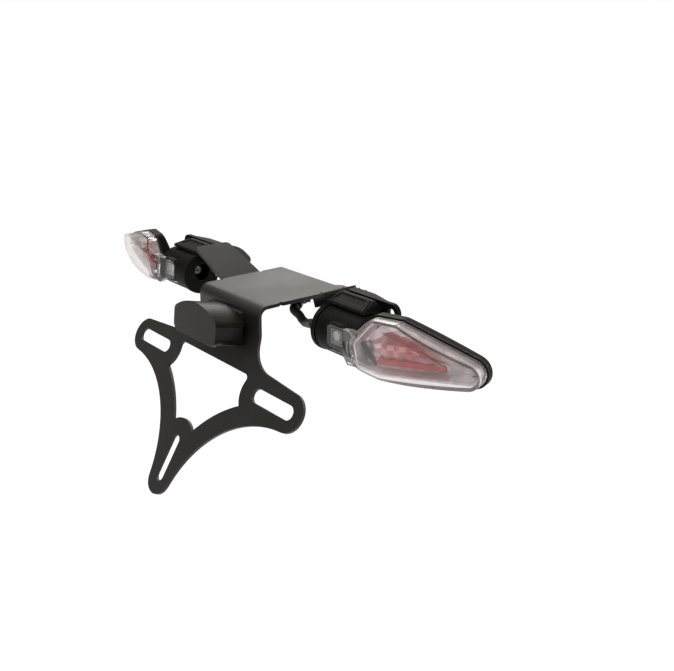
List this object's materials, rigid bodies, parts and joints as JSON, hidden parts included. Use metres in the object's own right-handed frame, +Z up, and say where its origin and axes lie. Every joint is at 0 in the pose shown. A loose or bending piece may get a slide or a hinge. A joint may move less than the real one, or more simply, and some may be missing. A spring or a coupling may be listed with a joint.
{
  "type": "tail tidy",
  "caption": "Folded sheet bracket that holds a number plate, a plate lamp and a pair of rear indicators on a motorbike's tail.",
  "frame": {"origin": "middle of the four tail bolt holes, on the tongue's top face", "axes": "+X to the bike's right side, +Y to its front, +Z up along the tail bolts"},
  "size_m": [0.3282, 0.1616, 0.1222],
  "materials": {
    "bracket_sheet": "satin black powder coat on folded steel sheet",
    "housing_black": "fine-grained black plastic",
    "lamp_black": "satin black plastic",
    "clear_lens": "clear moulded plastic",
    "lamp_clear": "clear moulded plastic",
    "reflector": "metallised plastic, dull bright",
    "red_guide": "clear red plastic",
    "board": "coated circuit board",
    "led": "light emitting diode with a pale dome",
    "rubber": "plain black rubber",
    "zinc": "zinc plated steel",
    "sleeve": "matt black sleeve",
    "plug_black": "black moulded plastic"
  },
  "bodies": {
    "root": {"bracket": "bracket_sheet", "weld_studs": "zinc", "stud_washers": "zinc", "stud_nuts": "zinc", "mounting_pad_left": "rubber", "mounting_pad_right": "rubber", "lamp_housing": "lamp_black", "lamp_lens": "lamp_clear", "lamp_board": "board", "lamp_leds": "led", "lamp_gasket": "rubber", "lamp_screws": "zinc", "lamp_washers": "zinc", "housing_left": "housing_black", "housing_right": "housing_black", "end_cap_left": "housing_black", "end_cap_right": "housing_black", "cap_screws": "zinc", "lens_left": "clear_lens", "lens_right": "clear_lens", "reflector_left": "reflector", "reflector_right": "reflector", "light_guide_left": "red_guide", "light_guide_right": "red_guide", "led_board_left": "board", "led_board_right": "board", "turn_leds": "led", "window_led_boards": "board", "window_leds": "led", "lead_right": "sleeve", "lead_plug": "plug_black", "lead_clips": "plug_black"}
  },
  "joints": []
}
